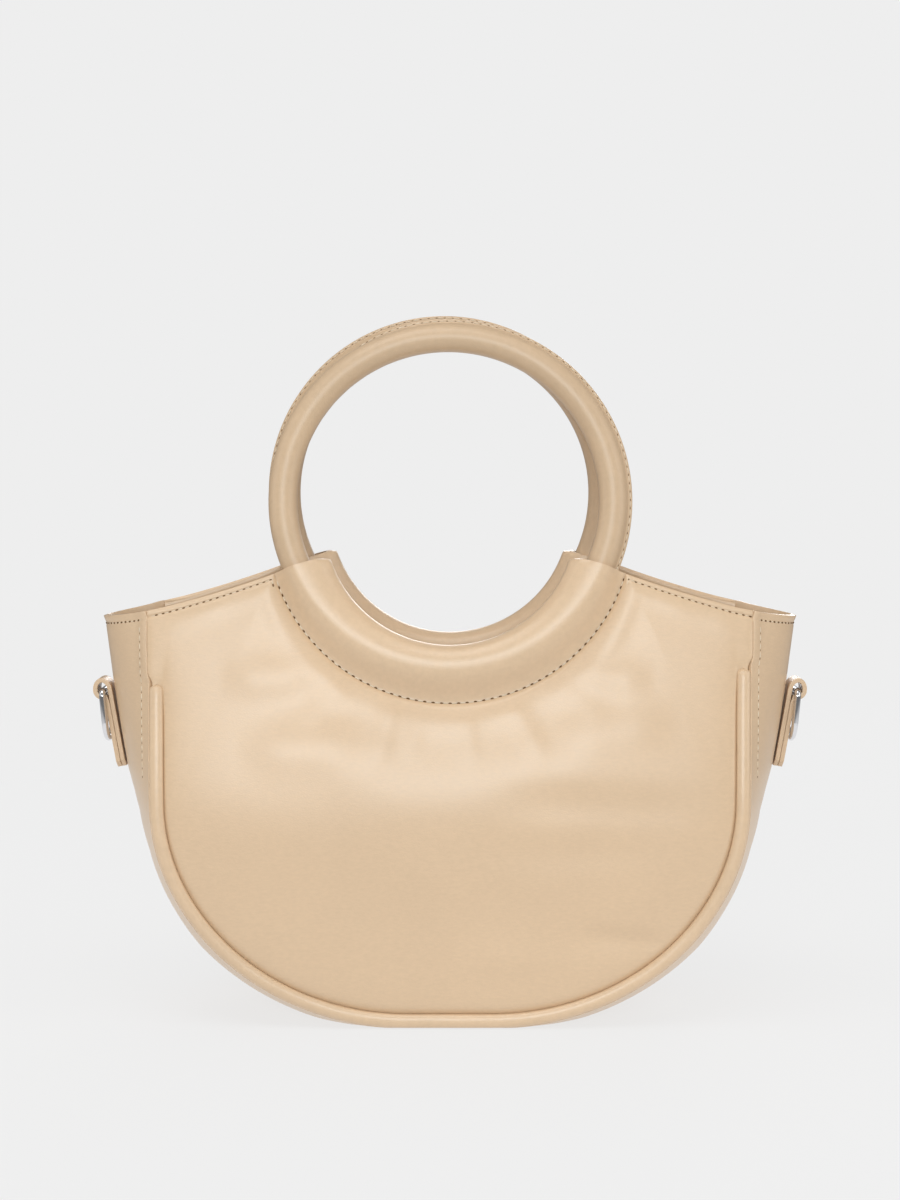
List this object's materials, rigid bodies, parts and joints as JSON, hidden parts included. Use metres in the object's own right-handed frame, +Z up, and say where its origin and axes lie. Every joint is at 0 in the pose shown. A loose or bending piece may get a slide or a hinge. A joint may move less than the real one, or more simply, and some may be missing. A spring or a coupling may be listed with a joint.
{
  "type": "ring handle bag",
  "caption": "Half-moon leather handbag with an open top, piped seams, round ring handles held in leather collars, and D-rings for a strap.",
  "frame": {"origin": "middle of the flat base, on the surface that the bag stands on", "axes": "+X to the right seen from the front, -Y the front, +Z up"},
  "size_m": [0.2762, 0.0861, 0.2687],
  "materials": {
    "body_leather": "smooth semi-gloss beige leather with a very fine grain",
    "collar_leather": "smooth semi-gloss beige leather, stretched over the ring",
    "handle_leather": "smooth semi-gloss beige leather with a sewn edge",
    "piping_leather": "smooth semi-gloss beige leather over a cord",
    "tab_leather": "beige leather strap with painted edges",
    "chrome": "polished"
  },
  "bodies": {
    "bag": {"gusset": "body_leather", "front_panel": "body_leather", "back_panel": "body_leather", "front_piping": "piping_leather", "back_piping": "piping_leather", "front_collar": "collar_leather", "back_collar": "collar_leather", "front_ring": "handle_leather", "back_ring": "handle_leather", "left_tab": "tab_leather", "right_tab": "tab_leather"},
    "left_d_ring": {"left_d_ring": "chrome"},
    "right_d_ring": {"right_d_ring": "chrome"}
  },
  "joints": [
    {"name": "left_d_ring_swing", "type": "hinge", "parent": "bag", "child": "left_d_ring", "pos_m": [-0.13441, 0, 0.12315], "axis": [0, 1, 0], "range_deg": [-1, 160]},
    {"name": "right_d_ring_swing", "type": "hinge", "parent": "bag", "child": "right_d_ring", "pos_m": [0.13441, 0, 0.12315], "axis": [0, -1, 0], "range_deg": [-1, 160]}
  ]
}
